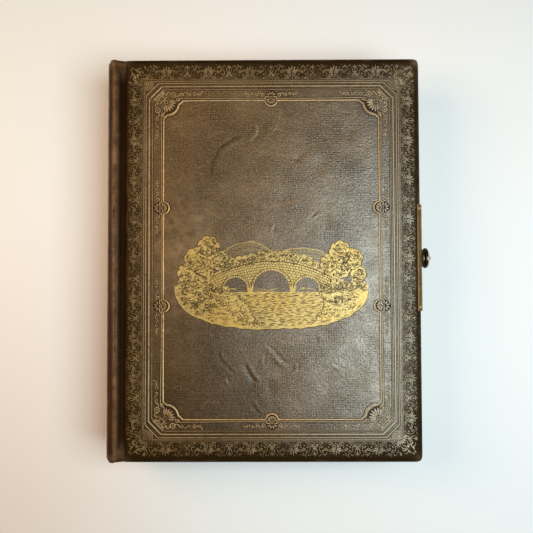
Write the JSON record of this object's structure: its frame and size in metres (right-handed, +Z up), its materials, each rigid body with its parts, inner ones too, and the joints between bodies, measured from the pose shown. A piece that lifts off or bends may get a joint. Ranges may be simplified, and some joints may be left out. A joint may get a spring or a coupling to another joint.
{
  "type": "photograph album",
  "caption": "Leather-bound photograph album with hinged covers, window-mat leaves on linen guards, gilt tooling and a brass push-button clasp.",
  "frame": {"origin": "centre of the back cover's underside, half way across spine and boards", "axes": "+X from the spine to the fore-edge and clasp, +Y to the head, +Z up from the back cover to the front cover"},
  "size_m": [0.2351, 0.29, 0.0576],
  "materials": {
    "board": "grey millboard",
    "leather": "dark brown grained leather, worn",
    "joint_leather": "leather in the joint grooves, almost black",
    "pastedown": "aged cream paper",
    "liner": "plain card",
    "guards": "glued stack of guards",
    "gilt": "worn gold leaf",
    "clasp_brass": "aged brass",
    "bright_brass": "polished brass",
    "spring_steel": "spring steel",
    "black_enamel": "black polished",
    "mat_card": "cream card with gilt edges",
    "divider_card": "plain card",
    "linen": "dark red linen"
  },
  "bodies": {
    "album_base": {"back_board": "board", "back_leather": "leather", "back_pastedown": "pastedown", "spine_leather": "leather", "spine_liner": "liner", "front_joint": "joint_leather", "back_joint": "joint_leather", "guard_block": "guards", "back_clasp_plate": "clasp_brass", "back_clasp_rivets": "bright_brass", "hinge_pin": "clasp_brass"},
    "front_cover": {"front_board": "board", "front_leather": "leather", "front_pastedown": "pastedown", "front_gilt": "gilt", "front_picture": "gilt", "front_clasp_plate": "clasp_brass", "front_clasp_rivets": "bright_brass", "catch_spring": "spring_steel"},
    "leaf_01": {"leaf_01_mats": "mat_card", "leaf_01_core": "divider_card", "leaf_01_guard": "linen"},
    "leaf_02": {"leaf_02_mats": "mat_card", "leaf_02_core": "divider_card", "leaf_02_guard": "linen"},
    "leaf_03": {"leaf_03_mats": "mat_card", "leaf_03_core": "divider_card", "leaf_03_guard": "linen"},
    "leaf_04": {"leaf_04_mats": "mat_card", "leaf_04_core": "divider_card", "leaf_04_guard": "linen"},
    "leaf_05": {"leaf_05_mats": "mat_card", "leaf_05_core": "divider_card", "leaf_05_guard": "linen"},
    "leaf_06": {"leaf_06_mats": "mat_card", "leaf_06_core": "divider_card", "leaf_06_guard": "linen"},
    "leaf_07": {"leaf_07_mats": "mat_card", "leaf_07_core": "divider_card", "leaf_07_guard": "linen"},
    "leaf_08": {"leaf_08_mats": "mat_card", "leaf_08_core": "divider_card", "leaf_08_guard": "linen"},
    "leaf_09": {"leaf_09_mats": "mat_card", "leaf_09_core": "divider_card", "leaf_09_guard": "linen"},
    "leaf_10": {"leaf_10_mats": "mat_card", "leaf_10_core": "divider_card", "leaf_10_guard": "linen"},
    "hasp": {"hasp": "clasp_brass", "button_spring": "spring_steel"},
    "button": {"knob_skirt": "black_enamel", "knob_cap": "bright_brass"}
  },
  "joints": [
    {"name": "front_cover_hinge", "type": "hinge", "parent": "album_base", "child": "front_cover", "pos_m": [-0.1065, 0, 0.0501], "axis": [0, -1, 0], "range_deg": [0, 180]},
    {"name": "leaf_01_turn", "type": "hinge", "parent": "album_base", "child": "leaf_01", "pos_m": [-0.0985, 0, 0.04765], "axis": [0, -1, 0], "range_deg": [0, 88]},
    {"name": "leaf_02_turn", "type": "hinge", "parent": "album_base", "child": "leaf_02", "pos_m": [-0.0985, 0, 0.04335], "axis": [0, -1, 0], "range_deg": [0, 74]},
    {"name": "leaf_03_turn", "type": "hinge", "parent": "album_base", "child": "leaf_03", "pos_m": [-0.0985, 0, 0.03905], "axis": [0, -1, 0], "range_deg": [0, 63.5]},
    {"name": "leaf_04_turn", "type": "hinge", "parent": "album_base", "child": "leaf_04", "pos_m": [-0.0985, 0, 0.03475], "axis": [0, -1, 0], "range_deg": [0, 55.5]},
    {"name": "leaf_05_turn", "type": "hinge", "parent": "album_base", "child": "leaf_05", "pos_m": [-0.0985, 0, 0.03045], "axis": [0, -1, 0], "range_deg": [0, 49.3]},
    {"name": "leaf_06_turn", "type": "hinge", "parent": "album_base", "child": "leaf_06", "pos_m": [-0.0985, 0, 0.02615], "axis": [0, -1, 0], "range_deg": [0, 44.3]},
    {"name": "leaf_07_turn", "type": "hinge", "parent": "album_base", "child": "leaf_07", "pos_m": [-0.0985, 0, 0.02185], "axis": [0, -1, 0], "range_deg": [0, 40.1]},
    {"name": "leaf_08_turn", "type": "hinge", "parent": "album_base", "child": "leaf_08", "pos_m": [-0.0985, 0, 0.01755], "axis": [0, -1, 0], "range_deg": [0, 36.7]},
    {"name": "leaf_09_turn", "type": "hinge", "parent": "album_base", "child": "leaf_09", "pos_m": [-0.0985, 0, 0.01325], "axis": [0, -1, 0], "range_deg": [0, 33.9]},
    {"name": "leaf_10_turn", "type": "hinge", "parent": "album_base", "child": "leaf_10", "pos_m": [-0.0985, 0, 0.00895], "axis": [0, -1, 0], "range_deg": [0, 31.5]},
    {"name": "hasp_swing", "type": "hinge", "parent": "album_base", "child": "hasp", "pos_m": [0.1151, 0.0004, 0.0095], "axis": [0, 1, 0], "range_deg": [0, 90], "deforming": ["catch_spring"]},
    {"name": "button_press", "type": "slide", "parent": "hasp", "child": "button", "axis": [-1, 0, 0], "range_m": [0, 0.0009], "stiffness_N_per_m": 900, "deforming": ["button_spring"]}
  ],
  "couplings": [
    {"joint": "leaf_01_turn", "follows": "front_cover_hinge", "ratio": 0.48889},
    {"joint": "leaf_02_turn", "follows": "front_cover_hinge", "ratio": 0.41111},
    {"joint": "leaf_03_turn", "follows": "front_cover_hinge", "ratio": 0.35278},
    {"joint": "leaf_04_turn", "follows": "front_cover_hinge", "ratio": 0.30833},
    {"joint": "leaf_05_turn", "follows": "front_cover_hinge", "ratio": 0.27389},
    {"joint": "leaf_06_turn", "follows": "front_cover_hinge", "ratio": 0.24611},
    {"joint": "leaf_07_turn", "follows": "front_cover_hinge", "ratio": 0.22278},
    {"joint": "leaf_08_turn", "follows": "front_cover_hinge", "ratio": 0.20389},
    {"joint": "leaf_09_turn", "follows": "front_cover_hinge", "ratio": 0.18833},
    {"joint": "leaf_10_turn", "follows": "front_cover_hinge", "ratio": 0.175}
  ]
}
